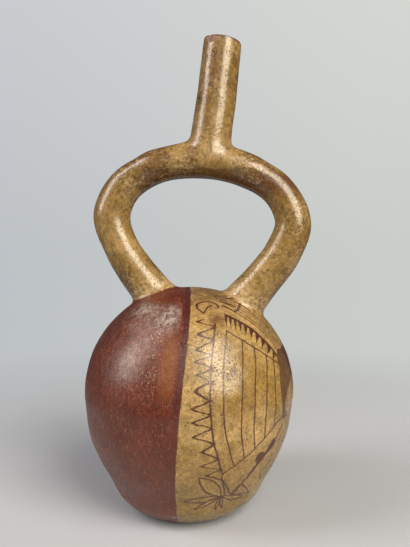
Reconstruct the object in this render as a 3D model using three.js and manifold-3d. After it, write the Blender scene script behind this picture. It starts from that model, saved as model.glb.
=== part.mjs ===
// Stirrup spout vessel: a hollow burnished ceramic bottle in one piece. A round body with a small
// flat foot carries a tubular stirrup, and one slightly leaning spout opens into both of its arms.
// Millimetres, +Z up. The origin is the centre of the foot, on the ground. The stirrup lies in the
// XZ plane, with its buff-slipped leg at +X and the red-slipped half of the body at -X.
import * as THREE from "three";
import { mergeVertices } from "three/addons/utils/BufferGeometryUtils.js";
import Module from "manifold-3d";

const CLAY_COLOUR = 0xb08a4e;
const CLAY_ROUGHNESS = 0.35;

// Body: the belly is widest at BELLY_HEIGHT, and the dome above it is a slightly full half ellipse.
const BELLY_RADIUS = 64.6;
const BELLY_HEIGHT = 72;
const BODY_HEIGHT = 136.8;
const DOME_POWER = 0.93; // 1 makes the dome an ellipse, and less makes its shoulder fuller
const FOOT_RADIUS = 26.5;
const BODY_LEAN = 1.4; // how far the top of the body stands towards +X of its foot
const BODY_WALL = 5.5;
// The outline between foot and belly, as [radius, height].
const LOWER_OUTLINE = [
  [FOOT_RADIUS, 0],
  [31, 1.9],
  [37.6, 6],
  [43.7, 12],
  [49, 22],
  [56, 35],
  [61.6, 50],
  [BELLY_RADIUS, BELLY_HEIGHT],
];
const LOWER_STEPS = 13;
const DOME_STEPS = 9;
const BODY_SIDES = 56;
const CAVITY_SIDES = 32;

// Stirrup: its centreline in the XZ plane from the red side's root to the buff side's, as
// [x, z, outer radius]. Its two ends run on through the dome into the body's cavity.
const STIRRUP_LINE = [
  [-9.5, 118, 12.5],
  [-17.8, 128.2, 12.6],
  [-31.8, 145.4, 11.8],
  [-43.2, 163.5, 11.0],
  [-48.4, 182.4, 11.4],
  [-39.4, 200.4, 10.6],
  [-18.7, 211.7, 10.0],
  [6.6, 214.7, 10.4],
  [32.3, 209.9, 10.1],
  [54.9, 196.8, 10.2],
  [64.5, 177, 10.8],
  [58.4, 158.1, 11.2],
  [45.4, 141, 11.7],
  [32, 124.7, 13.6],
  [24, 114.5, 13.8],
];
const STIRRUP_STEPS = 42;
const STIRRUP_SIDES = 24;

// Spout: its centreline from inside the crown of the stirrup up to the rim, as [x, z, outer radius].
const SPOUT_LINE = [
  [9.6, 211, 9.6],
  [13, 222, 12.2],
  [15.9, 240, 12.1],
  [18.3, 258, 12],
  [20.3, 276, 11.8],
  [21.2, 284.3, 11.5],
  [21.4, 286.6, 10.6],
];
const SPOUT_STEPS = 14;
const SPOUT_SIDES = 26;

// Webs of clay that round the two corners between spout and stirrup, as centreline points [x, z].
const WEB_RADIUS = 9.4;
const WEB_LINES = [
  [[14.6, 238], [11.2, 222], [0, 215.6], [-20, 210.6]],
  [[15.6, 236], [13.5, 222], [20, 215], [36, 207.6]],
];
const WEB_STEPS = 9;

const TUBE_WALL = 4.4;
const LIP_WALL = 2.9; // the spout's wall thins towards its rim
const LIP_TAPER_POWER = 3; // most of that thinning comes near the rim
const BORE_SIDES = 16;
const BORE_OVERRUN = 4; // the bore cutter stands this far above the rim

// Chips out of the rim: direction round the spout, how far round and how deep they reach.
const RIM_CHIPS = [
  { angle: -126, width: 6.5, depth: 1.1 },
  { angle: -106, width: 4.4, depth: 0.8 },
  { angle: 38, width: 3.4, depth: 0.6 },
];
const CHIP_SIDES = 5;
const CHIP_REACH = 1.6; // a chip's size across the lip over its size round the rim

const SAME_POINT = 1e-4; // corners nearer than this are one corner

const wasm = await Module();
wasm.setup();

// A closed geometry as a solid that can be joined and cut.
function solidOf(geometry) {
  geometry.deleteAttribute("normal");
  geometry.deleteAttribute("uv");
  const merged = mergeVertices(geometry, SAME_POINT);
  const corners = merged.index.array;
  const kept = [];
  for (let i = 0; i < corners.length; i += 3) {
    const [a, b, c] = [corners[i], corners[i + 1], corners[i + 2]];
    if (a !== b && b !== c && c !== a) kept.push(a, b, c);
  }
  const solid = new wasm.Manifold(
    new wasm.Mesh({
      numProp: 3,
      vertProperties: merged.attributes.position.array,
      triVerts: new Uint32Array(kept),
    }),
  );
  if (solid.volume() <= 0) throw new Error("a solid is inside out");
  return solid;
}

// A smooth path in the XZ plane through points [x, z].
function pathThrough(points) {
  return new THREE.CatmullRomCurve3(
    points.map(([x, z]) => new THREE.Vector3(x, 0, z)),
    false,
    "centripetal",
  );
}

// A tube with closed ends along a path in the XZ plane; radiusAt gives its radius from 0 to 1.
function sweep(path, radiusAt, steps, sides) {
  const across = new THREE.Vector3(0, 1, 0);
  const positions = [];
  const faces = [];
  for (let i = 0; i <= steps; i++) {
    const along = i / steps;
    const centre = path.getPoint(along);
    const normal = new THREE.Vector3().crossVectors(across, path.getTangent(along)).normalize();
    for (let k = 0; k < sides; k++) {
      const turn = (2 * Math.PI * k) / sides;
      const point = centre
        .clone()
        .addScaledVector(normal, radiusAt(along) * Math.cos(turn))
        .addScaledVector(across, radiusAt(along) * Math.sin(turn));
      positions.push(point.x, point.y, point.z);
    }
  }
  for (let i = 0; i < steps; i++) {
    for (let k = 0; k < sides; k++) {
      const a = i * sides + k;
      const b = i * sides + ((k + 1) % sides);
      faces.push(a, b, b + sides, a, b + sides, a + sides);
    }
  }
  const last = steps * sides;
  for (let k = 1; k < sides - 1; k++) {
    faces.push(0, k + 1, k);
    faces.push(last, last + k, last + k + 1);
  }
  const geometry = new THREE.BufferGeometry();
  geometry.setAttribute("position", new THREE.Float32BufferAttribute(positions, 3));
  geometry.setIndex(faces);
  return geometry;
}

// The radii of a line of [x, z, radius] points as a smooth function from 0 to 1, less a wall.
function radiusLaw(line, wallAt = () => 0) {
  const law = new THREE.SplineCurve(line.map(([, , radius], i) => new THREE.Vector2(i, radius)));
  return (along) => law.getPoint(along).y - wallAt(along);
}

function tubeAlong(line, steps, sides, wallAt) {
  return solidOf(sweep(pathThrough(line), radiusLaw(line, wallAt), steps, sides));
}

// The body's outline as [radius, height] points from the foot's edge to the top of the dome.
function bodyOutline() {
  const lower = new THREE.SplineCurve(LOWER_OUTLINE.map(([r, z]) => new THREE.Vector2(r, z)));
  const domeRise = BODY_HEIGHT - BELLY_HEIGHT;
  const dome = [];
  for (let i = 1; i <= DOME_STEPS; i++) {
    const turn = ((Math.PI / 2) * i) / DOME_STEPS;
    dome.push(
      new THREE.Vector2(
        BELLY_RADIUS * Math.max(Math.cos(turn), 0) ** DOME_POWER,
        BELLY_HEIGHT + domeRise * Math.sin(turn),
      ),
    );
  }
  return [...lower.getPoints(LOWER_STEPS), ...dome];
}

// The same outline moved inwards by the wall's thickness.
function inset(outline, wall) {
  return outline.map((point, i) => {
    const before = outline[Math.max(i - 1, 0)];
    const after = outline[Math.min(i + 1, outline.length - 1)];
    const along = after.clone().sub(before).normalize();
    return new THREE.Vector2(
      Math.max(point.x - wall * along.y, 0),
      Math.max(point.y + wall * along.x, wall),
    );
  });
}

// A round solid from an outline, leaning a little towards +X as it rises.
function roundSolid(outline, sides) {
  const foot = new THREE.Vector2(0, outline[0].y);
  const top = new THREE.Vector2(0, outline[outline.length - 1].y);
  const profile = [foot, ...outline.slice(0, -1), top];
  const geometry = new THREE.LatheGeometry(profile, sides).rotateX(Math.PI / 2);
  const lean = BODY_LEAN / BODY_HEIGHT;
  geometry.applyMatrix4(new THREE.Matrix4().makeShear(0, 0, 0, 0, lean, 0));
  return solidOf(geometry);
}

function outerSolid() {
  const webs = WEB_LINES.map((line) =>
    solidOf(sweep(pathThrough(line), () => WEB_RADIUS, WEB_STEPS, BORE_SIDES)),
  );
  return roundSolid(bodyOutline(), BODY_SIDES)
    .add(tubeAlong(STIRRUP_LINE, STIRRUP_STEPS, STIRRUP_SIDES))
    .add(tubeAlong(SPOUT_LINE, SPOUT_STEPS, SPOUT_SIDES))
    .add(webs[0])
    .add(webs[1]);
}

// The vessel's inside: the chamber, the bore of the stirrup and the bore of the spout.
function innerSolid() {
  const [rimX, rimZ, rimRadius] = SPOUT_LINE[SPOUT_LINE.length - 1];
  const [neckX, neckZ] = SPOUT_LINE[SPOUT_LINE.length - 2];
  const rise = BORE_OVERRUN / (rimZ - neckZ);
  const above = [rimX + (rimX - neckX) * rise, rimZ + BORE_OVERRUN, rimRadius];
  const spoutWall = (along) => THREE.MathUtils.lerp(TUBE_WALL, LIP_WALL, along ** LIP_TAPER_POWER);
  return roundSolid(inset(bodyOutline(), BODY_WALL), CAVITY_SIDES)
    .add(tubeAlong(STIRRUP_LINE, STIRRUP_STEPS, BORE_SIDES, () => TUBE_WALL))
    .add(tubeAlong([...SPOUT_LINE, above], SPOUT_STEPS, BORE_SIDES, spoutWall));
}

// Small wedges that break the rim's edge.
function chipSolids() {
  const [rimX, rimZ, rimRadius] = SPOUT_LINE[SPOUT_LINE.length - 1];
  return RIM_CHIPS.map(({ angle, width, depth }) => {
    const turn = THREE.MathUtils.degToRad(angle);
    const wedge = new THREE.CylinderGeometry(width / 2, width / 4, 2 * depth, CHIP_SIDES);
    wedge.rotateX(Math.PI / 2);
    wedge.scale(CHIP_REACH, 1, 1);
    wedge.rotateZ(turn);
    wedge.translate(rimX + rimRadius * Math.cos(turn), rimRadius * Math.sin(turn), rimZ);
    return solidOf(wedge);
  });
}

function geometryOf(solid) {
  const mesh = solid.getMesh();
  const geometry = new THREE.BufferGeometry();
  geometry.setAttribute("position", new THREE.BufferAttribute(mesh.vertProperties, 3));
  geometry.setIndex(new THREE.BufferAttribute(mesh.triVerts, 1));
  geometry.computeVertexNormals();
  return geometry;
}

function makeVessel() {
  let solid = outerSolid().subtract(innerSolid());
  for (const chip of chipSolids()) solid = solid.subtract(chip);
  const clay = new THREE.MeshStandardMaterial({
    color: CLAY_COLOUR,
    roughness: CLAY_ROUGHNESS,
    metalness: 0,
  });
  const vessel = new THREE.Mesh(geometryOf(solid), clay);
  vessel.name = "vessel";
  return vessel;
}

const group = new THREE.Group();
group.add(makeVessel());
export default group;
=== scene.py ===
"""Looks of the stirrup spout vessel: one seamless skin with slip, painting, wear and gloss."""

import math

import bpy
import numpy as np
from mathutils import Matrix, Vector


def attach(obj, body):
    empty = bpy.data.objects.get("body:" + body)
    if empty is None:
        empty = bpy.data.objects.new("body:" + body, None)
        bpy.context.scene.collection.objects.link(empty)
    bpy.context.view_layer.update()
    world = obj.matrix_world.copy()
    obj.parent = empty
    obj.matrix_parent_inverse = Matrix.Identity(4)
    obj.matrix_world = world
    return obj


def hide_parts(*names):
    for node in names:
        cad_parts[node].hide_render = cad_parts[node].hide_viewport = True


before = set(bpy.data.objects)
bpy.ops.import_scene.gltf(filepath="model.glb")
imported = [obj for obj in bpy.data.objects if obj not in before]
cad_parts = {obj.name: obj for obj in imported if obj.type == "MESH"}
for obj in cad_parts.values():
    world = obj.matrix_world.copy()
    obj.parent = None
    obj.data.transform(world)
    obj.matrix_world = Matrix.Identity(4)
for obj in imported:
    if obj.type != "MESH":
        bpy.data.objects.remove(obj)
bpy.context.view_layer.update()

MM = 0.001
DEGREES = 180 / math.pi

# Camera, in millimetres in the vessel's frame. The picture is 410 by 547.
CAMERA_PLACE = (48.72, -346.2, 160.99)
CAMERA_AIM = (10.6, 0, 145.5)
SENSOR_MM = 36
LENS_MM = 36.86
NEAR_CLIP = 0.01

# Body, in millimetres: an outline from foot to belly, and a slightly full half ellipse above it.
BELLY_RADIUS = 64.6
BELLY_HEIGHT = 72
BODY_HEIGHT = 136.8
DOME_POWER = 0.93
DOME_STEPS = 120
FOOT_RADIUS = 26.5
BODY_LEAN = 1.4
BODY_WALL = 5.5
LOWER_OUTLINE = [
    (FOOT_RADIUS, 0),
    (31, 1.9),
    (37.6, 6),
    (43.7, 12),
    (49, 22),
    (56, 35),
    (61.6, 50),
    (BELLY_RADIUS, BELLY_HEIGHT),
]

# Stirrup, spout and the webs between them, as centreline points x, z and an outer radius.
STIRRUP_LINE = [
    (-9.5, 118, 12.5),
    (-17.8, 128.2, 12.6),
    (-31.8, 145.4, 11.8),
    (-43.2, 163.5, 11),
    (-48.4, 182.4, 11.4),
    (-39.4, 200.4, 10.6),
    (-18.7, 211.7, 10),
    (6.6, 214.7, 10.4),
    (32.3, 209.9, 10.1),
    (54.9, 196.8, 10.2),
    (64.5, 177, 10.8),
    (58.4, 158.1, 11.2),
    (45.4, 141, 11.7),
    (32, 124.7, 13.6),
    (24, 114.5, 13.8),
]
SPOUT_LINE = [
    (9.6, 211, 9.6),
    (13, 222, 12.2),
    (15.9, 240, 12.1),
    (18.3, 258, 12),
    (20.3, 276, 11.8),
    (21.2, 284.3, 11.6),
    (21.4, 287.3, 11.4),
]
WEB_RADIUS = 9.2
WEB_LINES = [
    [(14.6, 238), (11.2, 222), (0, 215.6), (-20, 210.6)],
    [(15.6, 236), (13.5, 222), (20, 215), (36, 207.6)],
]
TUBE_WALL = 4.4
LIP_WALL = 2.9
LIP_TAPER_POWER = 3
RIM_LEAN = math.radians(9.5)
# Flakes off the rim's outer edge: direction, radius of the scoop and how deep it bites.
RIM_CHIPS = [(-127, 4.6, 1.15), (-108, 3.8, 0.85), (38, 3, 0.6)]
CHIP_RISE = 0.7
CHIP_EDGE = 0.35  # how near a chip's surface the clay counts as freshly broken

# How softly neighbouring surfaces run into each other, in millimetres.
ROOT_FILLET = 4.2
WEB_FILLET = 2.2
CROWN_FILLET = 7
BORE_FILLET = 2
LIP_ROUNDING = 1.1
NECK_ROUNDING = 0.5
FOOT_ROUNDING = 0.4
CHIP_ROUNDING = 0.15

# Slow swells of a hand-built wall: direction, wavelength in millimetres, height and start.
SWELLS = [
    ((0.9, 0.2, 0.4), 61, 0.10, 0.3),
    ((-0.3, 0.8, 0.5), 47, 0.09, 1.9),
    ((0.2, 0.5, -0.8), 33, 0.07, 4.1),
    ((0.7, -0.6, 0.4), 23, 0.055, 2.6),
    ((0.1, 0.3, 0.95), 17, 0.045, 5.2),
    ((-0.8, 0.1, 0.6), 12, 0.03, 0.8),
    ((0.5, 0.7, -0.3), 7.5, 0.015, 3.3),
]

# Where each form can matter, so that it is only worked out there.
BODY_ENDS = BODY_HEIGHT + 20
STIRRUP_STARTS = BELLY_HEIGHT + 20
SPOUT_STARTS = 190
NECK_START = 211  # the spout's outer tube begins at this height, inside the crown
OVERRUN = 6  # the spout's line runs on above the rim, where the rim's plane cuts it off

# The net's grid, as (start, end, spacing): finer where the surface curves more.
GRID_X = [(-68, -30, 1.55), (-30, 8, 1.55), (8, 35, 1.15), (35, 79, 1.5)]
GRID_Y = [(-68, -16, 2), (-16, 16, 1.25), (16, 68, 2)]
GRID_Z = [(-2.5, 10, 1.25), (10, 112, 2), (112, 150, 1.3), (150, 278, 1.5), (278, 290, 0.75)]
NEAR = 5  # grid points nearer than this to the surface get their exact distance
FAR = 1e3  # all others get this one
WIDEST_TUBE = 14
TUBES_HALF_DEPTH = 18
FOOT_BAND = 10
TOP_BAND = 20
STIRRUP_BAND = 30
CHUNK = 16000  # points handled at once
SETTLE_ROUNDS = 3
LONGEST_STEP = 0.6
RISE_LIMIT = 40
LINE_STEPS = 24
TINY = 1e-9  # keeps divisions clear of zero
SAME_POINT = 1e-3
LEAST_SLOPE = 1e-3

# Colours, linear.
BUFF = (0.305, 0.177, 0.045)
BUFF_LIGHT = (0.43, 0.268, 0.094)
BUFF_OLIVE = (0.17, 0.1, 0.012)
BUFF_RUST_AND_SHADE = (0.13, 0.052, 0.016)
BUFF_CREAM = (0.56, 0.41, 0.23)
STAIN_AND_SHADE = (0.088, 0.034, 0.009)
RED = (0.09, 0.011, 0.002)
RED_LIGHT = (0.122, 0.02, 0.005)
RED_ORANGE = (0.22, 0.075, 0.02)
RED_DARK = (0.06, 0.01, 0.007)
PAINT = (0.062, 0.015, 0.007)
CHALK = (0.37, 0.3, 0.25)
FRESH_CLAY = (0.18, 0.07, 0.06)
SOOT = (0.03, 0.017, 0.01)
BOARD_DARK = (0.515, 0.52, 0.53)
BOARD_LIGHT = (0.545, 0.55, 0.56)
SPECULAR_LEVEL = 0.8
SPECULAR_TINT = (1, 0.93, 0.8, 1)
RELIEF_STRENGTH = 0.35
RELIEF_DEPTH = 0.35 * MM
BOARD_ROUGHNESS = 0.85

# Noise patterns: features per millimetre, octaves, roughness of the finer ones, and a seed that
# picks another pattern. The board's has its features per metre.
BUFF_CLOUDS = (0.03, 5, 0.65, 1)
BUFF_PATCHES = (0.13, 6, 0.75, 2)
BUFF_GRAIN = (0.5, 4, 0.75, 3)
RUSTY_CLOUDS = (0.055, 6, 0.72, 9)
STAIN_MOTTLE = (0.55, 5, 0.78, 14)
STAIN_GROUPS = (0.05, 3, 0.6, 15)
RED_STREAKS = (0.8, 4, 0.65, 11)
RED_CLOUDS = (0.05, 4, 0.6, 12)
RED_GRAIN = (0.7, 3, 0.7, 13)
SEAM_SHAKE = (0.06, 3, 0.5, 21)
WEAR = (0.33, 5, 0.7, 31)
CRACKLE = (0.75, 4, 0.75, 32)
ROOT_SHAKE = (0.12, 3, 0.6, 41)
BRISTLE = (0.9, 3, 0.65, 51)
PAINT_FADING = (0.14, 4, 0.7, 52)
GLOSS_CLOUDS = (0.25, 4, 0.65, 61)
BURNISH_FACETS = (0.16, 3, 0.55, 71)
CLAY_GRAIN = (0.62, 3, 0.65, 72)
FIRST_SCRATCHES = (0.55, 1, 0.4, 81)
SECOND_SCRATCHES = (0.55, 1, 0.4, 82)
SCRATCH_GAPS = (0.45, 2, 0.5, 83)
HAND_SHAKE = (0.06, 2, 0.5, 3.1)
HAND_DRIFT = (0.08, 2, 0.55, 7.7)
TOOTH_DEPTHS = (0.11, 1, 0.5, 5)
TOOTH_GAPS = (0.07, 1, 0.5, 6)
BOARD_TONE = (6, 3, 0.6, 1)

# Small round marks: cells per millimetre, radius within a cell, and the share of cells with one.
RED_SPECKS = (0.83, 0.14, 0.25)
FINE_SPECKS = (0.95, 0.2, 0.65)
COARSE_SPECKS = (0.36, 0.13, 0.35)

# The seam's direction at the foot in degrees, and what the height and its square add to it.
SEAM_TURN = (-1.4, 0.048, 0.0002)
# Soft patches on the body: direction, length up, half width, half height, size of the full middle.
# Painted shade on the body's side towards +X.
SHADED_SIDE = (88, 66, 52, 74, 0.1)
ORANGE_PLACE = (-3.5, 114, 8, 29, 0)
BROWN_SMUDGE = (28, 141.5, 9, 8, 0.1)
GREY_SMUDGE = (29.3, 122.6, 3.6, 3.6, 0.1)
THIN_PAINT = (70, 97, 15, 26, 0.5)
SCRATCHED_PLACE = (28, 111, 13, 10.5, 0.2)
SCRATCHES_FROM = 27  # the direction where their two patterns start
DARK_SPOT = (23.1, 88.2, 1.5, 1.2, 0.5)
FOOT_CHIP = (-3, 19.8, 1.4, 1, 0.5)
# Soft patches with a strength.
CHALKY_PLACES = [
    ((-7.5, 143, 11, 17, 0), 1),
    ((-38, 150, 17, 9, 0), 0.9),
    ((-24, 142, 30, 17, 0), 0.55),
    ((-27, 114, 15, 15, 0), 0.3),
]
FLAKED_PLACES = [((-13, 130, 6.5, 7, 0.1), 1), ((-12.5, 110, 8, 22, 0.1), 0.7)]
# The fresh break below the rim: direction round the spout, depth below the rim, and half sizes.
BREAK_MIDDLE = (-31, 2.8)
BREAK_REACH = (19, 2.1)

# Painting. Places are a direction in degrees and a length up the wall from the foot's edge in
# millimetres; half widths are in millimetres.
LINE_HALF = 0.54
THIN_HALF = 0.44
FIGURE_HALF = 0.46
COMB_HALF = 0.75
SHAKE_DEGREES = 1.9
DRIFT_MM = 3.2
# Bowed upright lines: direction at the middle, bend and the middle's height.
FRAME_LINE = (17.4, 0.0045, 96)
PLANK_LINES = [
    (23.8, 0.0055, 95),
    (33.3, 0.005, 88),
    (40.9, 0.0052, 85),
    (48.4, 0.0056, 81),
    (55.8, 0.006, 84),
]
CRESCENT_LEFT = (62, 0.012, 93)
CRESCENT_RIGHT = (66.5, 0.083, 86)
# Slanting lines: direction and height of the start, slope and bend.
UPPER_LINE = (33.6, 132.3, -0.74, 0)
LOWER_LINE = (25.4, 52.9, 0.86, -0.0045)
HEM_LINE = (38.1, 145.2, -0.45, -0.022)
# From where to where each runs: in degrees, millimetres or, for the sweeps, their pitches.
FRAME_SPAN = (52, 139)
ZIGZAG_SPAN = (48.5, 141.5)
TEETH_SPAN = (37, 69)
CRESCENT_SPAN = (77, 117)
SWEEP_SPAN = (-0.2, 4.3)
# The planks' ends: the line, its span, and the nearest distance over the one straight up.
RAILS = [(UPPER_LINE, (32, 69), 0.82), (LOWER_LINE, (25, 66), 0.84)]
ZIGZAG_STEEPNESS = 0.4
ZIGZAG_START = 48.2
ZIGZAG_PITCH = 8.05
ZIGZAG_UNEVEN = 0.9
ZIGZAG_SHALLOW = 7.4
ZIGZAG_DEEP = 10.4
ZIGZAG_LIMIT = 11
ZIGZAG_STRAIGHT = 0.45  # the share of straight strokes, the rest being round-tipped ones
TEETH_PITCH = 3.05
TEETH_START = 44.1
TEETH_LEAN = 0.44
TEETH_HALF = 0.46
TEETH_TAPER = 0.038
TEETH_WIDTH = 2.6
HEM_MIDDLE = 1
HEM_HALF = 1.5
SWEEP_RISE = 9.2
SWEEP_PITCH = 6.1
SWEEP_WIDTH = 3.7
SWEEP_HALF = 0.5
SWEEP_START = 43

# The plant's leaves, as a tip and a half width, all from its heart.
PLANT_HEART = (28.6, 35.6)
LEAVES = [
    ((11.9, 52.7), 3.6),
    ((4.5, 33.3), 2.1),
    ((11.7, 27), 1.5),
    ((47.5, 30), 1.7),
    ((26.8, 24.6), 0.9),
    ((31.8, 25.6), 0.9),
]
# Thin and thick strokes from place to place: about the plant, by the crescent and on the shoulder.
FINE_PATHS = [
    [(36.2, 35.3), (40.7, 42.9), (51.9, 31.8), (36.2, 35.3)],
    [(25.3, 51.5), (30.5, 36.5)],
    [(25.9, 50), (33.9, 36.8)],
    [(34.8, 36), (42.3, 46)],
    [(54.4, 46.4), (58.5, 39.7)],
    [(54.4, 46.4), (61.8, 54)],
    [(63, 42), (68, 52)],
    [(57.6, 66), (66, 74)],
    [(14.2, 151), (19.3, 146.5), (23.8, 151.5), (29, 153.2)],
    [(43, 164.3), (62, 163.8)],
]
COMB_PATHS = [
    [(59, 160.5), (72.4, 152.9), (49.2, 147.3)],
    [(47, 155.4), (57, 151.3)],
    [(41.5, 152.6), (49.8, 147.3)],
]
# Thick strokes of the dotted wave: start, end, half width and how much it swells.
WAVE_STROKES = [
    ((43, 46.6), (48.8, 56.5), 0.8, 0.5),
    ((48.3, 59.2), (48.4, 59.3), 3.7, 0),
    ((49.5, 58), (57.6, 65.2), 1.1, 1.4),
]
RING_MIDDLE = (24.8, 152.6)
RING_RADIUS = 4.3
RING_SQUEEZE = 0.46
RING_OPENING = 1.6

# The wall's colour low down and high up, and what it is multiplied by at the left and the right:
# painted light, lighter upwards and to the right.
WALL_LOW = (0.528, 0.55, 0.561)
WALL_HIGH = (0.6, 0.615, 0.63)
WALL_LEFT = (0.96, 0.97, 1)
WALL_RIGHT = (1.14, 1.13, 1.03)
WALL_LIGHT = 0.17
WALL_RISE = (0, 0.42)
WALL_TURN = (-0.5, 0.3)
FLOOR_RADIUS = 1.6
FLOOR_SIDES = 96
FLOOR_FADE = (0.06, 0.62)  # from where to where it fades into the wall, in metres

# Soft lamps: name, place and aim in metres, size, power and colour.
LAMPS = [
    ("lamp_left", (-0.96, -0.41, 0.76), (0, 0, 0.12), (0.5, 1), 10.6, (1, 0.95, 0.97)),
    ("lamp_right", (0.73, -0.77, 0.78), (0.02, 0, 0.12), (0.75, 1.1), 24, (1, 0.95, 0.87)),
    ("lamp_front", (0.1, -1.2, 0.9), (0, 0, 0.12), (0.9, 0.9), 1.8, (1, 1, 1)),
]


def smooth_line(points, steps=LINE_STEPS):
    """A smooth curve through points that are a place of two values and, if wanted, a radius."""
    points = np.array(points, float)
    before = 2 * points[0] - points[1]
    after = 2 * points[-1] - points[-2]
    before[2:] = points[0][2:]
    after[2:] = points[-1][2:]
    around = np.vstack([before, points, after])
    gaps = np.linalg.norm(np.diff(around[:, :2], axis=0), axis=1) ** 0.5
    curve = []
    for i in range(1, len(around) - 2):
        a, b, c, d = around[i - 1 : i + 3]
        g0, g1, g2 = gaps[i - 1 : i + 2]
        start = ((b - a) / g0 - (c - a) / (g0 + g1) + (c - b) / g1) * g1
        end = ((c - b) / g1 - (d - b) / (g1 + g2) + (d - c) / g2) * g1
        start[2:] = (c - a)[2:] / 2
        end[2:] = (d - b)[2:] / 2
        t = np.linspace(0, 1, steps, endpoint=False)[:, None]
        cubic = 2 * b - 2 * c + start + end
        square = 3 * c - 3 * b - 2 * start - end
        curve.append(cubic * t**3 + square * t**2 + start * t + b)
    return np.vstack(curve + [points[-1:]])


def nearest_on_line(flat, line):
    """The step to each point from a line's nearest place, that place's segment and share of it."""
    flat = flat.astype(np.float32)
    starts = line[:-1, :2].astype(np.float32)
    runs = np.diff(line[:, :2], axis=0).astype(np.float32)
    lengths = (runs**2).sum(1)
    steps = np.empty(flat.shape)
    index = np.empty(len(flat), int)
    share = np.empty(len(flat))
    for low in range(0, len(flat), CHUNK):
        part = slice(low, low + CHUNK)
        dx = flat[part, :1] - starts[:, 0]
        dz = flat[part, 1:] - starts[:, 1]
        t = np.clip((dx * runs[:, 0] + dz * runs[:, 1]) / lengths, 0, 1)
        dx -= t * runs[:, 0]
        dz -= t * runs[:, 1]
        best = np.argmin(dx * dx + dz * dz, axis=1)
        rows = np.arange(len(best))
        steps[part, 0] = dx[rows, best]
        steps[part, 1] = dz[rows, best]
        index[part] = best
        share[part] = t[rows, best]
    return steps, index, share


class Form:
    """A surface as signed distances, negative inside, and their gradients, at a set of points."""

    def __init__(self, distance, gradient):
        self.distance = distance
        self.gradient = gradient

    def __neg__(self):
        return Form(-self.distance, -self.gradient)

    def join(self, other, softness):
        share = np.clip(0.5 + 0.5 * (other.distance - self.distance) / softness, 0, 1)
        mixed = other.distance * (1 - share) + self.distance * share
        mixed = mixed - softness * share * (1 - share)
        gradient = other.gradient * (1 - share)[:, None] + self.gradient * share[:, None]
        return Form(mixed, gradient)

    def keep(self, other, softness):
        """What lies inside both."""
        return -((-self).join(-other, softness))


def tube_form(points, line, wall=None):
    """A tube round a line in the XZ plane; wall tells how much thinner it is along its length."""
    steps, index, share = nearest_on_line(points[:, [0, 2]], line)
    radii = line[index, 2] * (1 - share) + line[index + 1, 2] * share
    if wall is not None:
        radii = radii - wall((index + share) / (len(line) - 1))
    away = np.stack([steps[:, 0], points[:, 1], steps[:, 1]], 1)
    reach = np.maximum(np.linalg.norm(away, axis=1), TINY)
    return Form(reach - radii, away / reach[:, None])


def body_outline():
    """The body's outline as radius and height, from the foot's middle to the top."""
    lower = smooth_line(LOWER_OUTLINE)
    turn = np.linspace(0, math.pi / 2, DOME_STEPS)[1:]
    fullness = np.maximum(np.cos(turn), 0) ** DOME_POWER
    heights = BELLY_HEIGHT + (BODY_HEIGHT - BELLY_HEIGHT) * np.sin(turn)
    dome = np.stack([BELLY_RADIUS * fullness, heights], 1)
    return np.vstack([[(0, 0)], lower[:, :2], dome])


def inset(outline, wall):
    """The same outline moved inwards by the wall's thickness."""
    along = np.gradient(outline, axis=0)
    along /= np.linalg.norm(along, axis=1)[:, None]
    moved = outline + wall * np.stack([-along[:, 1], along[:, 0]], 1)
    moved = np.stack([np.maximum(moved[:, 0], 0), np.maximum(moved[:, 1], wall)], 1)
    return moved[np.r_[True, np.linalg.norm(np.diff(moved, axis=0), axis=1) > SAME_POINT]]


def lengths_along(outline):
    return np.r_[0, np.cumsum(np.linalg.norm(np.diff(outline, axis=0), axis=1))]


def body_form(points, outline):
    """The round body, leaning a little towards +X, with the length up its outline at each point."""
    across = points[:, 0] - BODY_LEAN / BODY_HEIGHT * points[:, 2]
    radius = np.maximum(np.hypot(across, points[:, 1]), TINY)
    steps, index, share = nearest_on_line(np.stack([radius, points[:, 2]], 1), outline)
    reach = np.maximum(np.linalg.norm(steps, axis=1), TINY)
    here = np.interp(points[:, 2], outline[:, 1], outline[:, 0], left=-1, right=-1)
    between = (points[:, 2] > outline[0, 1]) & (points[:, 2] < outline[-1, 1])
    sign = np.where(between & (radius < here), -1, 1)
    facing = steps / reach[:, None] * sign[:, None]
    gradient_x = facing[:, 0] * across / radius
    gradient_y = facing[:, 0] * points[:, 1] / radius
    gradient = np.stack([gradient_x, gradient_y, facing[:, 1]], 1)
    lengths = lengths_along(outline)
    along = lengths[index] * (1 - share) + lengths[index + 1] * share
    return Form(reach * sign, gradient), along


OUTER_OUTLINE = body_outline()
INNER_OUTLINE = inset(OUTER_OUTLINE, BODY_WALL)
STIRRUP = smooth_line(STIRRUP_LINE)
RIM_X, RIM_Z, RIM_RADIUS = SPOUT_LINE[-1]
RIM_MIDDLE = np.array([RIM_X, 0, RIM_Z])
RIM_AXIS = np.array([math.sin(RIM_LEAN), 0, math.cos(RIM_LEAN)])
ABOVE_RIM = (RIM_X + RIM_AXIS[0] * OVERRUN, RIM_Z + RIM_AXIS[2] * OVERRUN, RIM_RADIUS)
TALL_SPOUT = smooth_line(SPOUT_LINE + [ABOVE_RIM])
WEBS = [smooth_line([(*point, WEB_RADIUS) for point in line]) for line in WEB_LINES]


def stirrup_wall(along):
    return TUBE_WALL


def spout_wall(along):
    return TUBE_WALL + (LIP_WALL - TUBE_WALL) * along**LIP_TAPER_POWER


def above(points, height):
    """Everything above a height."""
    return Form(height - points[:, 2], np.tile((0, 0, -1), (len(points), 1)))


def below_rim(points):
    """Everything below the rim's plane."""
    return Form((points - RIM_MIDDLE) @ RIM_AXIS, np.tile(RIM_AXIS, (len(points), 1)))


def swell(points):
    total = np.zeros(len(points))
    slope = np.zeros((len(points), 3))
    for direction, length, height, start in SWELLS:
        wave = np.array(direction) / np.linalg.norm(direction) * (2 * math.pi / length)
        phase = points @ wave + start
        total += height * np.sin(phase)
        slope += (height * np.cos(phase))[:, None] * wave
    return Form(total, slope)


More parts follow.
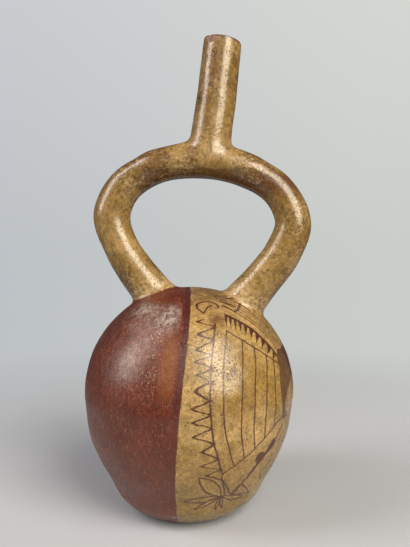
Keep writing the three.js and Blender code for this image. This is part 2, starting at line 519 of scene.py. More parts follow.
def chip_form(points, angle, reach, depth):
    """A shallow scoop out of the rim's outer edge."""
    turn = math.radians(angle)
    side = np.array([math.cos(turn), math.sin(turn), 0])
    outer_edge = RIM_MIDDLE + side * SPOUT_LINE[-2][2]
    centre = outer_edge + side * (reach - depth) + RIM_AXIS * CHIP_RISE
    away = points - centre
    length = np.maximum(np.linalg.norm(away, axis=1), TINY)
    ragged = 0.22 * np.sin(points[:, 0] * 2.9 + angle) + 0.18 * np.sin(points[:, 1] * 3.7 + 2)
    return Form(length - reach + ragged, away / length[:, None])


def only(points, where, make):
    """A form worked out at some of the points, and far away at the others."""
    form = Form(np.full(len(points), FAR), np.zeros((len(points), 3)))
    if where.any():
        part = make(points[where])
        form.distance[where] = part.distance
        form.gradient[where] = part.gradient
    return form


def tube_above(points, height, line, wall=None):
    return only(points, points[:, 2] > height, lambda some: tube_form(some, line, wall))


def outer_form(points, body):
    """The outside, with its soft joints, swells and rounded lip."""
    outer = body.join(tube_above(points, STIRRUP_STARTS, STIRRUP), ROOT_FILLET)
    neck = tube_above(points, SPOUT_STARTS, TALL_SPOUT)
    for web in WEBS:
        neck = neck.join(tube_above(points, SPOUT_STARTS, web), WEB_FILLET)
    outer = outer.join(neck.keep(above(points, NECK_START), NECK_ROUNDING), CROWN_FILLET)
    wave = swell(points)
    outer = Form(outer.distance + wave.distance, outer.gradient + wave.gradient)
    return outer.keep(below_rim(points), LIP_ROUNDING)


def hollow_form(points):
    """The inside: the chamber and the bores of stirrup and spout."""
    low = points[:, 2] < BODY_ENDS
    chamber = only(points, low, lambda some: body_form(some, INNER_OUTLINE)[0])
    tunnel = tube_above(points, STIRRUP_STARTS, STIRRUP, stirrup_wall)
    bore = tube_above(points, SPOUT_STARTS, TALL_SPOUT, spout_wall)
    bore = bore.keep(above(points, NECK_START), NECK_ROUNDING)
    return chamber.join(tunnel, BORE_FILLET).join(bore, BORE_FILLET)


def skin(points, facts=None):
    """The vessel's wall as one form. facts, if given, gets what the paint needs to know."""
    low = points[:, 2] < BODY_ENDS
    top = points[:, 2] > SPOUT_STARTS
    along = np.zeros(len(points))

    def body(some):
        form, length = body_form(some, OUTER_OUTLINE)
        along[low] = length
        return form

    outer_body = only(points, low, body)
    outer = outer_form(points, outer_body)
    hollow = hollow_form(points)
    wall = outer.keep(-hollow, LIP_ROUNDING)
    chipped = np.full(len(points), FAR)
    for angle, reach, depth in RIM_CHIPS:
        chip = only(points, top, lambda some: chip_form(some, angle, reach, depth))
        wall = wall.keep(-chip, CHIP_ROUNDING)
        chipped = np.minimum(chipped, np.abs(chip.distance))
    # The swells stop at the foot, which stays flat on the ground.
    wall = wall.keep(above(points, 0), FOOT_ROUNDING)
    if facts is not None:
        facts["rise"] = np.minimum(outer_body.distance, RISE_LIMIT)
        facts["length_up"] = along - FOOT_RADIUS
        facts["hollow"] = np.clip((-hollow.distance - outer.distance) * 0.5 + 0.5, 0, 1)
        facts["chipped"] = np.clip(1 - chipped / CHIP_EDGE, 0, 1)
    return wall


def grid_steps(bands):
    """Grid places from bands of (start, end, spacing)."""
    places = []
    for start, end, spacing in bands:
        count = max(1, round((end - start) / spacing))
        places.extend(np.linspace(start, end, count, endpoint=False))
    places.append(bands[-1][1])
    return np.array(places)


def grid_distances(mesh):
    """The skin's distances at the grid's points, exact near the surface."""
    points = mesh.reshape(-1, 3)
    height = points[:, 2]
    radius = np.hypot(points[:, 0] - BODY_LEAN / 2, points[:, 1])
    outline_radius = np.interp(height, OUTER_OUTLINE[:, 1], OUTER_OUTLINE[:, 0])
    inner_radius = np.interp(height, INNER_OUTLINE[:, 1], INNER_OUTLINE[:, 0])
    by_wall = (radius < outline_radius + NEAR) & (radius > inner_radius - NEAR)
    by_ends = (height < FOOT_BAND) | (height > BODY_HEIGHT - TOP_BAND)
    near = (height < BODY_HEIGHT + NEAR) & (by_wall | by_ends)
    by_stirrup = (height > BODY_HEIGHT - STIRRUP_BAND) & (np.abs(points[:, 1]) < TUBES_HALF_DEPTH)
    tubes = by_stirrup & ~near
    flat, back = np.unique(points[tubes][:, [0, 2]], axis=0, return_inverse=True)
    beside = np.full(len(flat), FAR)
    for line in (STIRRUP, TALL_SPOUT):
        steps, _, _ = nearest_on_line(flat, line)
        beside = np.minimum(beside, np.linalg.norm(steps, axis=1))
    near[tubes] = beside[back.ravel()] < WIDEST_TUBE + NEAR
    values = np.full(len(points), FAR)
    values[near] = skin(points[near]).distance
    return values.reshape(mesh.shape[:3])


def net_corners(mesh, values, cells):
    """For each cell, the middle of the places where the surface crosses its edges."""
    total = np.zeros((len(cells), 3))
    hits = np.zeros(len(cells))
    offsets = [(n & 1, (n >> 1) & 1, (n >> 2) & 1) for n in range(8)]
    edges = [(a, b) for a in range(8) for b in range(a + 1, 8) if (a ^ b) in (1, 2, 4)]
    for a, b in edges:
        at_a = cells + offsets[a]
        at_b = cells + offsets[b]
        value_a = values[tuple(at_a.T)]
        value_b = values[tuple(at_b.T)]
        crossed = (value_a < 0) != (value_b < 0)
        t = np.where(crossed, value_a / np.where(crossed, value_a - value_b, 1), 0)[:, None]
        place = mesh[tuple(at_a.T)] * (1 - t) + mesh[tuple(at_b.T)] * t
        total[crossed] += place[crossed]
        hits += crossed
    return total / hits[:, None]


def net_faces(inside, ids):
    """A four-sided face round each grid edge that the surface crosses."""
    faces = []
    for axis in range(3):
        one, two = (axis + 1) % 3, (axis + 2) % 3
        step = np.eye(3, dtype=int)
        crossing = np.argwhere(inside != np.roll(inside, -1, axis))
        within = np.all(crossing > 0, 1) & np.all(crossing < np.array(ids.shape), 1)
        crossing = crossing[within]
        ring = [
            ids[tuple((crossing - step[one] * p - step[two] * q).T)]
            for p, q in ((0, 0), (1, 0), (1, 1), (0, 1))
        ]
        quads = np.stack(ring, 1)
        starts_inside = inside[tuple(crossing.T)]
        quads[~starts_inside] = quads[~starts_inside][:, ::-1]
        faces.append(quads)
    return np.vstack(faces)


def net_of_skin():
    """Corners and faces of the skin, with a corner in each grid cell that it crosses."""
    xs, ys, zs = grid_steps(GRID_X), grid_steps(GRID_Y), grid_steps(GRID_Z)
    mesh = np.stack(np.meshgrid(xs, ys, zs, indexing="ij"), -1)
    values = grid_distances(mesh)
    inside = values < 0
    count = inside.astype(int)
    for _ in range(3):
        count = np.moveaxis(count[:-1] + count[1:], 0, -1)
    cells = np.argwhere((count > 0) & (count < 8))
    ids = np.full(count.shape, -1)
    ids[tuple(cells.T)] = np.arange(len(cells))
    return net_corners(mesh, values, cells), net_faces(inside, ids)


def settle(points):
    """Moves the corners onto the exact surface."""
    for _ in range(SETTLE_ROUNDS):
        form = skin(points)
        size = np.maximum((form.gradient**2).sum(1), LEAST_SLOPE)
        step = np.clip(form.distance / size, -LONGEST_STEP, LONGEST_STEP)
        points = points - step[:, None] * form.gradient
    return points


def add_object(name, data):
    made = bpy.data.objects.new(name, data)
    bpy.context.scene.collection.objects.link(made)
    return made


def make_skin():
    points, faces = net_of_skin()
    points = settle(points)
    facts = {}
    form = skin(points, facts)
    points[:, 2] = np.maximum(points[:, 2], 0)
    mesh = bpy.data.meshes.new("vessel_skin")
    mesh.from_pydata((points * MM).tolist(), [], faces.tolist(), shade_flat=False)
    mesh.validate()
    for name, values in facts.items():
        layer = mesh.attributes.new(name, "FLOAT", "POINT")
        layer.data.foreach_set("value", values.astype(np.float32))
    lengths = np.maximum(np.linalg.norm(form.gradient, axis=1), TINY)
    mesh.normals_split_custom_set_from_vertices((form.gradient / lengths[:, None]).tolist())
    return add_object("vessel_skin", mesh)


class Term:
    """A shader value that can be added, subtracted, multiplied and divided like a number."""

    def __init__(self, sheet, socket):
        self.sheet = sheet
        self.socket = socket

    def __add__(self, other):
        return self.sheet.math("ADD", self, other)

    __radd__ = __add__

    def __sub__(self, other):
        return self.sheet.math("SUBTRACT", self, other)

    def __rsub__(self, other):
        return self.sheet.math("SUBTRACT", other, self)

    def __mul__(self, other):
        return self.sheet.math("MULTIPLY", self, other)

    def __truediv__(self, other):
        return self.sheet.math("DIVIDE", self, other)

    def __neg__(self):
        return self.sheet.math("MULTIPLY", self, -1)


class Sheet:
    """The nodes of a material or world, with a short name for each kind it uses."""

    def __init__(self, owner):
        owner.use_nodes = True
        self.tree = owner.node_tree
        self.tree.nodes.clear()

    def node(self, kind, **settings):
        made = self.tree.nodes.new(kind)
        for key, value in settings.items():
            setattr(made, key, value)
        return made

    def feed(self, socket, value):
        if isinstance(value, Term):
            self.tree.links.new(value.socket, socket)
        else:
            socket.default_value = value

    def result(self, kind, *values, **settings):
        """The first output of a new node whose inputs are fed in their order."""
        made = self.node(kind, **settings)
        for socket, value in zip(made.inputs, values):
            self.feed(socket, value)
        return Term(self, made.outputs[0])

    def math(self, operation, *values, clamp=False):
        return self.result("ShaderNodeMath", *values, operation=operation, use_clamp=clamp)

    def least(self, first, *others):
        for other in others:
            first = self.math("MINIMUM", first, other)
        return first

    def most(self, first, *others):
        for other in others:
            first = self.math("MAXIMUM", first, other)
        return first

    def size(self, value):
        return self.math("ABSOLUTE", value)

    def swing(self, value):
        """Runs from 0 up to a half and back again as the value grows by 1."""
        return self.math("PINGPONG", value, 0.5)

    def length(self, x, y):
        return self.math("SQRT", x * x + y * y)

    def ramp(self, value, start, end, low=0, high=1, kind="SMOOTHSTEP"):
        """Runs from low at start to high at end, and stays level beyond them."""
        amounts = (value, start, end, low, high)
        return self.result("ShaderNodeMapRange", *amounts, interpolation_type=kind)

    def fade(self, value, start, end):
        """1 up to start, 0 beyond end."""
        return self.ramp(value, start, end, 1, 0)

    def vector(self, x, y, z):
        return self.result("ShaderNodeCombineXYZ", x, y, z)

    def parts(self, vector):
        made = self.node("ShaderNodeSeparateXYZ")
        self.feed(made.inputs[0], vector)
        return [Term(self, socket) for socket in made.outputs]

    def coordinates(self, kind):
        made = self.node("ShaderNodeTexCoord")
        return Term(self, made.outputs[kind])

    def fact(self, name):
        """A value that the skin carries at its corners."""
        made = self.node("ShaderNodeAttribute", attribute_name=name, attribute_type="GEOMETRY")
        return Term(self, made.outputs["Fac"])

    def noise(self, vector, pattern):
        """Noise from about 0 to 1."""
        made = self.node("ShaderNodeTexNoise", noise_dimensions="4D")
        self.feed(made.inputs["Vector"], vector)
        for name, value in zip(("Scale", "Detail", "Roughness", "W"), pattern):
            made.inputs[name].default_value = value
        return Term(self, made.outputs["Fac"])

    def specks(self, vector, pattern):
        """Small round marks, one in some of the cells of a scattered pattern."""
        scale, size, share = pattern
        made = self.node("ShaderNodeTexVoronoi")
        self.feed(made.inputs["Vector"], vector)
        made.inputs["Scale"].default_value = scale
        present = self.ramp(Term(self, made.outputs["Color"]), 1 - share, 1.03 - share)
        return self.fade(Term(self, made.outputs["Distance"]), size, size * 1.8) * present

    def mix(self, share, first, second):
        """One colour over another: share 0 shows the first, 1 the second."""
        made = self.node("ShaderNodeMix", data_type="RGBA")
        self.feed(made.inputs["Factor"], share)
        sockets = [socket for socket in made.inputs if socket.type == "RGBA"]
        for socket, colour in zip(sockets, (first, second)):
            self.feed(socket, colour if isinstance(colour, Term) else (*colour, 1))
        return [Term(self, socket) for socket in made.outputs if socket.type == "RGBA"][0]

    def scaled(self, vector, factor):
        """A vector or colour times a factor."""
        made = self.node("ShaderNodeVectorMath", operation="SCALE")
        self.feed(made.inputs[0], vector)
        self.feed(made.inputs["Scale"], factor)
        return Term(self, made.outputs[0])

    def product(self, first, second):
        return self.result("ShaderNodeVectorMath", first, second, operation="MULTIPLY")

    def shader(self, kind, **inputs):
        made = self.node(kind)
        for name, value in inputs.items():
            self.feed(made.inputs[name.replace("_", " ")], value)
        return Term(self, made.outputs[0])

    def blend(self, share, first, second):
        """One shader over another: share 0 shows the first, 1 the second."""
        return self.result("ShaderNodeMixShader", share, first, second)

    def finish(self, kind, surface):
        output = self.node(kind)
        self.feed(output.inputs["Surface"], surface)


class Place:
    """Where a point of the surface is, in millimetres and degrees, as shader values."""

    def __init__(self, sheet):
        self.sheet = sheet
        self.point = sheet.scaled(sheet.coordinates("Object"), 1 / MM)
        self.x, self.y, self.z = sheet.parts(self.point)
        self.across = self.x - self.z * (BODY_LEAN / BODY_HEIGHT)
        self.angle = sheet.math("ARCTAN2", self.across, -self.y) * DEGREES
        self.radius = sheet.length(self.across, self.y)
        self.per_degree = self.radius / DEGREES
        self.up = sheet.fact("length_up")
        self.rise = sheet.fact("rise")
        self.hollow = sheet.fact("hollow")
        self.chipped = sheet.fact("chipped")
        # Folded at the buff side's middle, so that the hidden quarter repeats the shown one.
        self.folded = 90 - sheet.size(self.angle - 90)
        self.shown = sheet.fade(self.angle, 97, 100)
        self.wear = self.noise(WEAR)
        self.bristle = self.noise(BRISTLE)
        self.seam = self.seam_distance()
        self.on_body = sheet.fade(self.rise - self.noise(ROOT_SHAKE) * 1.6, 0.1, 0.45)
        ragged_seam = self.seam + (self.bristle - 0.5) * 0.5
        self.is_red = sheet.fade(ragged_seam, -0.22, 0.22) * self.on_body

    def seam_distance(self):
        """Millimetres from the seam between the slips, positive on the buff side."""
        start, slope, bend = SEAM_TURN
        turn = (self.z * self.z * bend + self.z * slope + start) / DEGREES
        shake = (self.noise(SEAM_SHAKE) - 0.5) * 1.6
        return self.across - self.radius * self.sheet.math("SINE", turn) + shake

    def noise(self, pattern):
        return self.sheet.noise(self.point, pattern)

    def specks(self, pattern):
        return self.sheet.specks(self.point, pattern)

    def spot(self, patch):
        """A soft-edged patch on the body, 1 at its middle."""
        angle, up, width, height, middle = patch
        across = (self.angle - angle) * self.per_degree / width
        rise = (self.up - up) / height
        return self.sheet.fade(self.sheet.length(across, rise), middle, 1)

    def spots(self, patches):
        total = 0
        for patch, strength in patches:
            total = self.spot(patch) * strength + total
        return total


class Brush:
    """Where the painter's hand is: a direction and a length up, both a little unsteady."""

    def __init__(self, sheet, place):
        self.sheet = sheet
        self.per_degree = place.per_degree
        shake = place.noise(HAND_SHAKE) - 0.5
        drift = place.noise(HAND_DRIFT) - 0.5
        self.angle = place.folded + shake * SHAKE_DEGREES
        self.up = place.up + drift * DRIFT_MM

    def between(self, value, span):
        low, high = span
        return self.sheet.most(low - value, value - high)

    def bowed(self, direction, bend, middle):
        """How far right of a bowed upright line the brush is, in millimetres."""
        offset = self.up - middle
        return (self.angle - (direction + offset * offset * bend)) * self.per_degree

    def slanting(self, direction, height, slope, bend):
        """The height of a slanting line above the brush's direction."""
        past = self.angle - direction
        return height + past * slope + past * past * bend

    def away(self, place):
        """Millimetres to the right of a place and above it."""
        return (self.angle - place[0]) * self.per_degree, self.up - place[1]


def zigzag_column(sheet, brush):
    """The frame's upright line and the zigzag that stands against it."""
    beside = brush.bowed(*FRAME_LINE)
    long_line = sheet.size(beside) - LINE_HALF
    along = sheet.vector(0, 0, brush.up)
    uneven = sheet.noise(along, TOOTH_GAPS) - 0.5
    phase = (brush.up - ZIGZAG_START) / ZIGZAG_PITCH + uneven * ZIGZAG_UNEVEN
    straight = sheet.swing(phase) * 2
    wave = straight * ZIGZAG_STRAIGHT + sheet.ramp(straight, 0, 1, 0, 1 - ZIGZAG_STRAIGHT)
    lengths = sheet.noise(along, TOOTH_DEPTHS)
    tooth = wave * sheet.ramp(lengths, 0.3, 0.7, ZIGZAG_SHALLOW, ZIGZAG_DEEP)
    zigzag = sheet.size(-beside - tooth) * ZIGZAG_STEEPNESS - LINE_HALF * 0.9
    return [
        sheet.most(long_line, brush.between(brush.up, FRAME_SPAN)),
        sheet.most(zigzag, brush.between(brush.up, ZIGZAG_SPAN), -beside - ZIGZAG_LIMIT),
    ]


def planks(sheet, brush):
    """Upright lines between two slanting ones."""
    upper = brush.slanting(*UPPER_LINE)
    lower = brush.slanting(*LOWER_LINE)
    strokes = []
    for line in PLANK_LINES:
        side = sheet.size(brush.bowed(*line)) - THIN_HALF
        strokes.append(sheet.most(side, lower - brush.up, brush.up - upper))
    for line, span, steepness in RAILS:
        rail = sheet.size(brush.up - brush.slanting(*line)) * steepness - THIN_HALF
        strokes.append(sheet.most(rail, brush.between(brush.angle, span)))
    return strokes


def hanging_teeth(sheet, brush):
    """Teeth that hang from a curved band, and lines that sweep round the shoulder above them."""
    hem = brush.slanting(*HEM_LINE)
    hang = hem - brush.up
    leaning = brush.angle + hang * TEETH_LEAN
    off_centre = sheet.swing((leaning - TEETH_START) / TEETH_PITCH)
    teeth = (off_centre - TEETH_HALF + hang * TEETH_TAPER) * TEETH_WIDTH
    band = sheet.size(hang - HEM_MIDDLE) - HEM_HALF
    teeth = sheet.least(sheet.most(teeth, -hang), band)
    phase = (brush.up - hem - SWEEP_RISE) / SWEEP_PITCH
    sweeps = sheet.swing(phase) * SWEEP_WIDTH - SWEEP_HALF
    return [
        sheet.most(teeth, brush.between(leaning, TEETH_SPAN)),
        sheet.most(sweeps, brush.between(phase, SWEEP_SPAN), SWEEP_START - brush.angle),
    ]


def crescent(sheet, brush):
    """The dark crescent at the side."""
    left = -brush.bowed(*CRESCENT_LEFT)
    right = brush.bowed(*CRESCENT_RIGHT)
    return sheet.most(left, right, brush.between(brush.up, CRESCENT_SPAN))


def painting(sheet, brush):
    """Distance to the nearest stroke's edge in millimetres, negative inside it."""
    strokes = zigzag_column(sheet, brush) + planks(sheet, brush) + hanging_teeth(sheet, brush)
    return sheet.least(*strokes, crescent(sheet, brush))


def run_between(start, end):
    """From place to place in millimetres, on a body as wide as it is halfway between them."""
    lengths = lengths_along(OUTER_OUTLINE) - FOOT_RADIUS
    radius = np.interp((start[1] + end[1]) / 2, lengths, OUTER_OUTLINE[:, 0])
    return (end[0] - start[0]) * radius / DEGREES, end[1] - start[1]


def straight_stroke(sheet, brush, start, end, half, swelling=0):
    run_x, run_y = run_between(start, end)
    across, rise = brush.away(start)
    square = run_x * run_x + run_y * run_y
    share = sheet.math("DIVIDE", across * run_x + rise * run_y, square, clamp=True)
    distance = sheet.length(across - share * run_x, rise - share * run_y)
    return distance - half - share * swelling


def leaf(sheet, brush, base, tip, width):
    """The outline of a pointed leaf."""
    run_x, run_y = run_between(base, tip)
    length = math.hypot(run_x, run_y)
    across, rise = brush.away(base)
    along = across * (run_x / length) + rise * (run_y / length)
    beside = across * (-run_y / length) + rise * (run_x / length)
    share = along / length
    belly = share * (1 - share) * (4 * width)
    edge = sheet.size(sheet.size(beside) - belly) - FIGURE_HALF
    return sheet.most(edge, -along, along - length)


def open_ring(sheet, brush):
    across, rise = brush.away(RING_MIDDLE)
    ring = sheet.math("SQRT", across * across * RING_SQUEEZE + rise * rise) - RING_RADIUS
    return sheet.most(sheet.size(ring) - FIGURE_HALF, -rise - RING_OPENING)


def small_figures(sheet, brush):
    """Distance to the plant, the comb, the dotted wave, the ring and the curls."""
    shapes = [leaf(sheet, brush, PLANT_HEART, tip, width) for tip, width in LEAVES]
    for paths, half in ((FINE_PATHS, FIGURE_HALF), (COMB_PATHS, COMB_HALF)):
        for path in paths:
            for start, end in zip(path, path[1:]):
                shapes.append(straight_stroke(sheet, brush, start, end, half))
    shapes += [straight_stroke(sheet, brush, *stroke) for stroke in WAVE_STROKES]
    return sheet.least(*shapes, open_ring(sheet, brush))


def golden_slip(sheet, place, patch):
    """Buff slip in golden clouds and olive patches, with painted shade on the side towards +X and
    low down, and rustier towards the shoulder.
    """
    cloud = place.noise(BUFF_CLOUDS)
    colour = sheet.mix(sheet.ramp(cloud, 0.42, 0.6), BUFF, BUFF_LIGHT)
    colour = sheet.mix(sheet.ramp(patch, 0.46, 0.62) * 0.55, colour, BUFF_OLIVE)
    # Painted shade darkens the side towards +X and the body low down; the shoulder is rustier.
    painted_shade = sheet.most(place.spot(SHADED_SIDE), sheet.fade(place.z, 4, 40))
    colour = sheet.mix(painted_shade * sheet.ramp(patch, 0.3, 0.6, 0.5, 0.85), colour, BUFF_OLIVE)
    shoulder = sheet.ramp(place.up, 136, 158) * sheet.fade(place.rise, 1, 4)
    return sheet.mix(shoulder * sheet.ramp(patch, 0.3, 0.6, 0.15, 0.5), colour, BUFF_RUST_AND_SHADE)


def tube_stains(sheet, place, colour, patch):
    """Rust, brown mottling and cream flecks that partly stand in for glints, strongest on the
    stirrup's crown and the spout, and painted shade under the crown.
    """
    tubes = sheet.ramp(place.rise, 3, 14, 0.3, 1)
    by_crown = sheet.ramp(place.z, 172, 204) * sheet.ramp(place.z, 216, 232, 1, 0.25)
    rusty = place.noise(RUSTY_CLOUDS) + by_crown * 0.04
    colour = sheet.mix(sheet.ramp(rusty, 0.5, 0.64) * tubes * 0.7, colour, BUFF_RUST_AND_SHADE)
    # Painted shade under the stirrup's crown, in the rust colour.
    shade_under_crown = sheet.fade(place.z, 203, 212) * sheet.ramp(place.z, 186, 200)
    shade_under_crown = shade_under_crown * sheet.ramp(place.x, -38, -20)
    colour = sheet.mix(shade_under_crown * sheet.ramp(patch, 0.3, 0.55, 0.5, 1), colour, BUFF_RUST_AND_SHADE)
    mottle = place.noise(STAIN_MOTTLE)
    gathered = place.noise(STAIN_GROUPS) + by_crown * 0.05
    stained = sheet.ramp(mottle + (gathered - 0.5) * 0.55, 0.54, 0.61)
    colour = sheet.mix(stained * tubes * 0.7, colour, STAIN_AND_SHADE)
    # The cream flecks are partly real flecks and partly painted glints from the highlights.
    pale = sheet.fade(mottle, 0.38, 0.46) * sheet.ramp(gathered, 0.46, 0.58)
    return sheet.mix(pale * tubes * 0.65, colour, BUFF_CREAM)


def buff_colour(sheet, place):
    """Burnished buff slip, cream where a leg joins and a little darker on the tubes."""
    patch = place.noise(BUFF_PATCHES)
    grain = place.noise(BUFF_GRAIN)
    colour = golden_slip(sheet, place, patch)
    joint = sheet.ramp(place.rise, 0.6, 2.2) * sheet.fade(place.rise, 5, 14)
    colour = sheet.mix(joint * sheet.ramp(grain, 0.35, 0.6) * 0.5, colour, BUFF_CREAM)
    colour = tube_stains(sheet, place, colour, patch)
    colour = sheet.scaled(colour, sheet.ramp(place.rise, 3, 14, 1, 0.82))
    return sheet.scaled(colour, sheet.ramp(grain, 0.3, 0.7, 0.64, 1.35))


def red_colour(sheet, place):
    """Burnished red slip with clouds, fine upright streaks and pale specks."""
    upright = sheet.vector(place.angle * 1.5, place.up * 0.22, 0)
    streaks = sheet.noise(upright, RED_STREAKS)
    cloud = place.noise(RED_CLOUDS)
    grain = place.noise(RED_GRAIN)
    colour = sheet.mix(sheet.ramp(cloud, 0.38, 0.62), RED, RED_LIGHT)
    colour = sheet.scaled(colour, sheet.ramp(streaks, 0.3, 0.7, 0.72, 1.34))
    colour = sheet.scaled(colour, sheet.ramp(grain, 0.3, 0.7, 0.66, 1.34))
    colour = sheet.mix(sheet.ramp(streaks * grain, 0.3, 0.42) * 0.32, colour, CHALK)
    return sheet.mix(place.specks(RED_SPECKS) * 0.35, colour, CHALK)


def worn_red(sheet, place, red):
    """The red half's dark edge, its thin orange place and its chalky and flaked places."""
    from_edge = sheet.size(place.seam + 1.6 + (place.wear - 0.5) * 1.2)
    edge = sheet.fade(from_edge, 1.2, 2.3) * sheet.ramp(place.z, 45, 110, 0.15, 0.95)
    red = sheet.mix(edge, red, RED_DARK)
    inside_edge = sheet.fade(place.seam, -5, -4.2)
    thin = place.spot(ORANGE_PLACE) * inside_edge
    red = sheet.mix(thin * sheet.ramp(place.wear, 0.32, 0.6, 0.45, 0.95), red, RED_ORANGE)
    crackle = place.noise(CRACKLE)
    haze = place.spots(CHALKY_PLACES) * inside_edge
    haze = haze * sheet.ramp(place.wear, 0.36, 0.62, 0.2, 1.25)
    red = sheet.mix(haze * sheet.ramp(crackle, 0.38, 0.6, 0.3, 0.85), red, CHALK)
    flaked = sheet.ramp(crackle, 0.53, 0.63) * place.spots(FLAKED_PLACES)
    return sheet.mix(flaked * 0.75, red, BUFF_CREAM)


def scratches(sheet, place):
    """Short fine scratches in two directions, where the buff slip has been rubbed."""
    across = (place.angle - SCRATCHES_FROM) * place.per_degree
    one_way = sheet.vector(across * 0.9 + place.up * 0.5, place.up * 0.18 - across * 0.2, 0)
    other_way = sheet.vector(across * 0.5 - place.up * 0.9, place.up * 0.2 + across * 0.24, 0)
    first = sheet.size(sheet.noise(one_way, FIRST_SCRATCHES) - 0.5)
    second = sheet.size(sheet.noise(other_way, SECOND_SCRATCHES) - 0.52)
    lines = sheet.fade(sheet.least(first, second), 0.035, 0.085)
    broken = sheet.ramp(place.noise(SCRATCH_GAPS), 0.42, 0.54)
    return lines * place.spot(SCRATCHED_PLACE) * broken


def painted_share(sheet, place):
    """Where the painting covers the buff slip, with its small figures only in front."""
    brush = Brush(sheet, place)
    off_body = place.on_body * -6 + 5
    lines = sheet.most(painting(sheet, brush), off_body)
    figures = sheet.most(small_figures(sheet, brush), place.shown * -6 + 5, off_body)
    distance = sheet.least(lines, figures) + (place.bristle - 0.5) * 0.6
    fading = sheet.ramp(place.noise(PAINT_FADING), 0.26, 0.5, 0.8, 1)
    worn_thin = 1 - place.spot(THIN_PAINT) * 0.22
    return sheet.fade(distance, -0.2, 0.2) * fading * sheet.ramp(place.seam, 0.5, 1.2) * worn_thin


def dark_marks(sheet, place):
    """Specks and one dark spot on the buff slip."""
    fine = place.specks(FINE_SPECKS) * sheet.ramp(place.wear, 0.4, 0.52)
    coarse = place.specks(COARSE_SPECKS) * sheet.ramp(place.wear, 0.3, 0.5)
    return sheet.most(fine * 0.75, coarse * 0.85, place.spot(DARK_SPOT) * 0.9)


def buff_half(sheet, place, painted, grazed, dark):
    """Buff slip with its smudges, painting, scratches and specks."""
    buff = buff_colour(sheet, place)
    brown = place.spot(BROWN_SMUDGE) * sheet.ramp(place.wear, 0.25, 0.55)
    buff = sheet.mix(brown * 0.95, buff, BUFF_RUST_AND_SHADE)
    grey = place.spot(GREY_SMUDGE) * sheet.ramp(place.wear, 0.3, 0.6)
    buff = sheet.mix(grey * 0.6, buff, SOOT)
    buff = sheet.mix(painted, buff, PAINT)
    buff = sheet.mix(grazed * 0.8, buff, STAIN_AND_SHADE)
    return sheet.mix(dark, buff, STAIN_AND_SHADE)


def rim_wear(sheet, place):
    """The rim's worn edge, and its fresh break and chips, as two shares."""
    dx = place.x - RIM_X
    dz = place.z - RIM_Z
    below = -(dx * RIM_AXIS[0] + dz * RIM_AXIS[2])
    direction = sheet.math("ARCTAN2", dx, -place.y) * DEGREES
    edge = sheet.fade(below + (place.wear - 0.5) * 2.4, 0.7, 2) * 0.85
    break_x = (direction - BREAK_MIDDLE[0]) / BREAK_REACH[0]
    break_z = (below - BREAK_MIDDLE[1]) / BREAK_REACH[1]
    broken = sheet.length(break_x, break_z) + (place.wear - 0.5) * 1.6
    return edge, sheet.most(sheet.fade(broken, 0.75, 1), place.chipped)


def worn_ends(sheet, place, colour, rim_edge, fresh, inside):
    """Wear at the rim and the foot, with a painted contact shadow along the foot's lowest edge,
    over the colour of the slip.
    """
    colour = sheet.mix(rim_edge, colour, STAIN_AND_SHADE)
    colour = sheet.mix(fresh * 0.85, colour, FRESH_CLAY)
    # Painted contact shadow: darker along the foot's lowest few millimetres.
    contact_shade = sheet.fade(place.z + (place.wear - 0.5) * 3, 0.5, 2.5)
    colour = sheet.mix(contact_shade * 0.6, colour, STAIN_AND_SHADE)
    colour = sheet.mix(place.spot(FOOT_CHIP) * 0.8, colour, CHALK)
    return sheet.mix(inside * 0.6, colour, BUFF_RUST_AND_SHADE)


def gloss(sheet, place, dark, fresh, inside, painted):
    """Roughness: burnished, smoothest on the tubes, duller in pits, on the red and in breaks."""
    clouds = place.noise(GLOSS_CLOUDS)
    rough = sheet.ramp(clouds, 0.38, 0.62, 0.17, 0.29) + sheet.ramp(place.bristle, 0.42, 0.6) * 0.08
    rough = rough - sheet.ramp(place.rise, 3, 14) * 0.06
    rough = rough + dark * (1 - place.is_red) * 0.35 + place.is_red * 0.12 + painted * 0.06
    return rough + fresh * 0.4 + inside * 0.3


def relief(sheet, place, dark, grazed, fresh):
    """A hand-burnished unevenness, grain, pits and scratches."""
    facets = place.noise(BURNISH_FACETS)
    grain = place.noise(CLAY_GRAIN)
    height = facets * 1.2 + grain * 0.85 + place.bristle * 0.6
    height = height - dark * 0.9 - grazed * 0.9 + fresh * (place.bristle * 1.2)
    return sheet.shader(
        "ShaderNodeBump", Strength=RELIEF_STRENGTH, Distance=RELIEF_DEPTH, Height=height
    )


def slip_material():
    material = bpy.data.materials.new("burnished_slip")
    sheet = Sheet(material)
    place = Place(sheet)
    painted = painted_share(sheet, place)
    grazed = scratches(sheet, place)
    dark = dark_marks(sheet, place)
    rim_edge, fresh = rim_wear(sheet, place)
    inside = sheet.ramp(place.hollow, 0.45, 0.6)
    buff = buff_half(sheet, place, painted, grazed, dark)
    red = worn_red(sheet, place, red_colour(sheet, place))
    colour = sheet.mix(place.is_red, buff, red)
    surface = sheet.shader(
        "ShaderNodeBsdfPrincipled",
        Base_Color=worn_ends(sheet, place, colour, rim_edge, fresh, inside),
        Roughness=gloss(sheet, place, dark, fresh, inside, painted),
        Normal=relief(sheet, place, dark, grazed, fresh),
        Specular_IOR_Level=SPECULAR_LEVEL,
        Specular_Tint=SPECULAR_TINT,
    )
    sheet.finish("ShaderNodeOutputMaterial", surface)
    return material


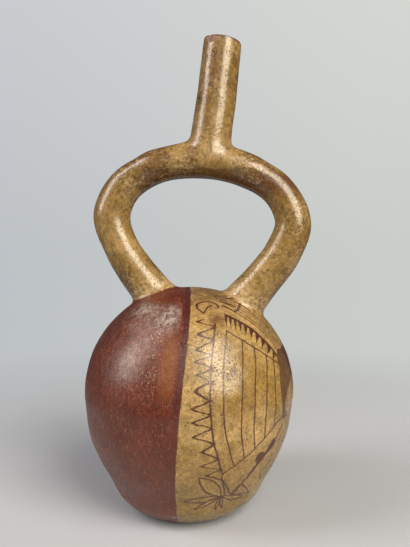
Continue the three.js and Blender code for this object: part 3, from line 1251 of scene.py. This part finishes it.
def floor_material():
    """Pale matte board with painted shade, darker at the front and a little lighter at the back,
    that fades away far from the vessel.
    """
    material = bpy.data.materials.new("pale_board")
    sheet = Sheet(material)
    point = sheet.coordinates("Object")
    x, y, _ = sheet.parts(point)
    colour = sheet.mix(sheet.noise(point, BOARD_TONE), BOARD_DARK, BOARD_LIGHT)
    # Painted shade: the board is darker towards the front and lighter towards the back.
    colour = sheet.scaled(colour, sheet.ramp(y, -0.15, 0.25, 0.91, 1.05))
    board = sheet.shader("ShaderNodeBsdfPrincipled", Base_Color=colour, Roughness=BOARD_ROUGHNESS)
    clear = sheet.shader("ShaderNodeBsdfTransparent")
    far = sheet.ramp(sheet.length(x, y), *FLOOR_FADE)
    sheet.finish("ShaderNodeOutputMaterial", sheet.blend(far, board, clear))
    return material


def make_floor():
    bpy.ops.mesh.primitive_circle_add(vertices=FLOOR_SIDES, radius=FLOOR_RADIUS, fill_type="NGON")
    floor = bpy.context.object
    floor.name = "floor"
    floor.data.materials.append(floor_material())


def make_background():
    """A pale wall with painted light, lighter upwards and to the right, that lights less than it
    shows.
    """
    world = bpy.data.worlds.new("studio")
    bpy.context.scene.world = world
    sheet = Sheet(world)
    x, _, z = sheet.parts(sheet.coordinates("Generated"))
    upwards = sheet.mix(sheet.ramp(z, *WALL_RISE, kind="LINEAR"), WALL_LOW, WALL_HIGH)
    sideways = sheet.mix(sheet.ramp(x, *WALL_TURN, kind="LINEAR"), WALL_LEFT, WALL_RIGHT)
    shown = sheet.shader("ShaderNodeBackground", Color=sheet.product(upwards, sideways))
    light = sheet.shader("ShaderNodeBackground", Color=(*WALL_HIGH, 1), Strength=WALL_LIGHT)
    rays = sheet.node("ShaderNodeLightPath")
    is_seen = Term(sheet, rays.outputs["Is Camera Ray"])
    sheet.finish("ShaderNodeOutputWorld", sheet.blend(is_seen, light, shown))


def turn_to(item, place, aim):
    """Puts a lamp or camera in its place, facing its aim."""
    item.location = place
    item.rotation_euler = (Vector(aim) - Vector(place)).to_track_quat("-Z", "Y").to_euler()


def make_camera():
    data = bpy.data.cameras.new("camera")
    data.sensor_width = SENSOR_MM
    data.lens = LENS_MM
    data.clip_start = NEAR_CLIP
    camera = add_object("camera", data)
    turn_to(camera, Vector(CAMERA_PLACE) * MM, Vector(CAMERA_AIM) * MM)
    bpy.context.scene.camera = camera


def make_lamps():
    for name, place, aim, size, power, colour in LAMPS:
        data = bpy.data.lights.new(name, "AREA")
        data.shape = "RECTANGLE"
        data.size, data.size_y = size
        data.energy = power
        data.color = colour
        turn_to(add_object(name, data), place, aim)


def make_vessel():
    vessel = make_skin()
    vessel.data.materials.append(slip_material())
    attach(vessel, "root")
    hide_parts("vessel")


make_camera()
make_vessel()
make_floor()
make_background()
make_lamps()
bpy.context.scene.view_settings.view_transform = "Standard"
